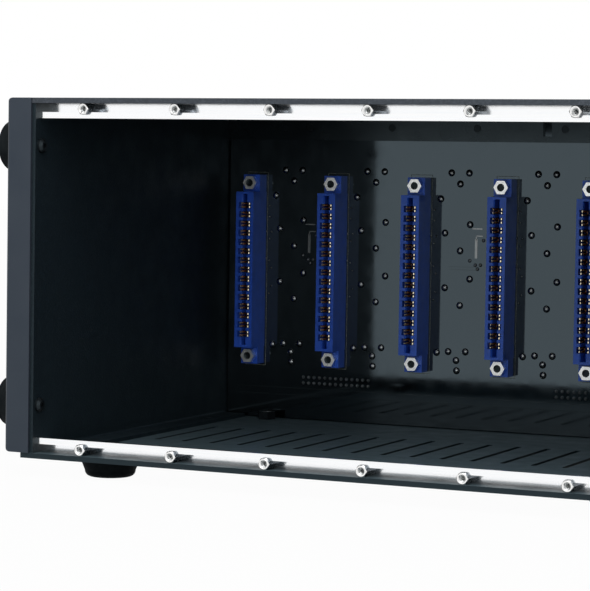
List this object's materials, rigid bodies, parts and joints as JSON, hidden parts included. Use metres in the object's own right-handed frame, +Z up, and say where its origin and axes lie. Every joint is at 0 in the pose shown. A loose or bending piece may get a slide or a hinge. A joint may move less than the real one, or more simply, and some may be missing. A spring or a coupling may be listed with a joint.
{
  "type": "subrack card cage",
  "caption": "Open-fronted desktop card cage with side cheeks, slotted panels, tapped front rails and a backplane of edge connectors for plug-in modules.",
  "frame": {"origin": "on the surface that the feet stand on, under the middle of the case and its side feet", "axes": "+X to the right across the slots, +Y from the open front to the back, +Z up"},
  "size_m": [0.2624, 0.1936, 0.1433],
  "materials": {
    "slate_paint": "satin powder coat",
    "black_paint": "fine textured black",
    "rail_aluminium": "brushed and anodised",
    "nickel": "nickel plated",
    "black_screws": "blackened steel",
    "board": "glossy black solder mask on glass fibre board",
    "connector_blue": "moulded, slightly glossy",
    "contact_gold": "gold plated",
    "rubber": "matt",
    "socket_black": "moulded shell"
  },
  "bodies": {
    "root": {"left_cheek": "slate_paint", "right_cheek": "slate_paint", "left_inner_wall": "black_paint", "right_inner_wall": "black_paint", "top_panel": "black_paint", "bottom_panel": "black_paint", "rear_panel": "black_paint", "board_top_bar": "black_paint", "board_bottom_bar": "black_paint", "top_front_rail": "rail_aluminium", "bottom_front_rail": "rail_aluminium", "top_standoffs": "nickel", "bottom_standoffs": "nickel", "connector_screws": "nickel", "connector_nuts": "nickel", "foot_screws": "nickel", "foot_nuts": "nickel", "backplane_board": "board", "edge_connector_1": "connector_blue", "edge_connector_2": "connector_blue", "edge_connector_3": "connector_blue", "edge_connector_4": "connector_blue", "edge_connector_5": "connector_blue", "edge_connector_6": "connector_blue", "connector_contacts_1": "contact_gold", "connector_contacts_2": "contact_gold", "connector_contacts_3": "contact_gold", "connector_contacts_4": "contact_gold", "connector_contacts_5": "contact_gold", "connector_contacts_6": "contact_gold", "input_socket_1": "socket_black", "input_socket_2": "socket_black", "input_socket_3": "socket_black", "input_socket_4": "socket_black", "input_socket_5": "socket_black", "input_socket_6": "socket_black", "output_socket_1": "socket_black", "output_socket_2": "socket_black", "output_socket_3": "socket_black", "output_socket_4": "socket_black", "output_socket_5": "socket_black", "output_socket_6": "socket_black", "power_inlet": "socket_black", "link_header_1": "socket_black", "link_header_2": "socket_black", "bottom_foot_1": "rubber", "bottom_foot_2": "rubber", "bottom_foot_3": "rubber", "bottom_foot_4": "rubber", "side_foot_1": "rubber", "side_foot_2": "rubber", "side_foot_3": "rubber", "side_foot_4": "rubber", "wall_screws": "black_screws", "rail_screws": "black_screws", "flange_screws": "black_screws", "rear_panel_screws": "black_screws", "board_screws": "black_screws", "socket_screws": "black_screws"}
  },
  "joints": []
}
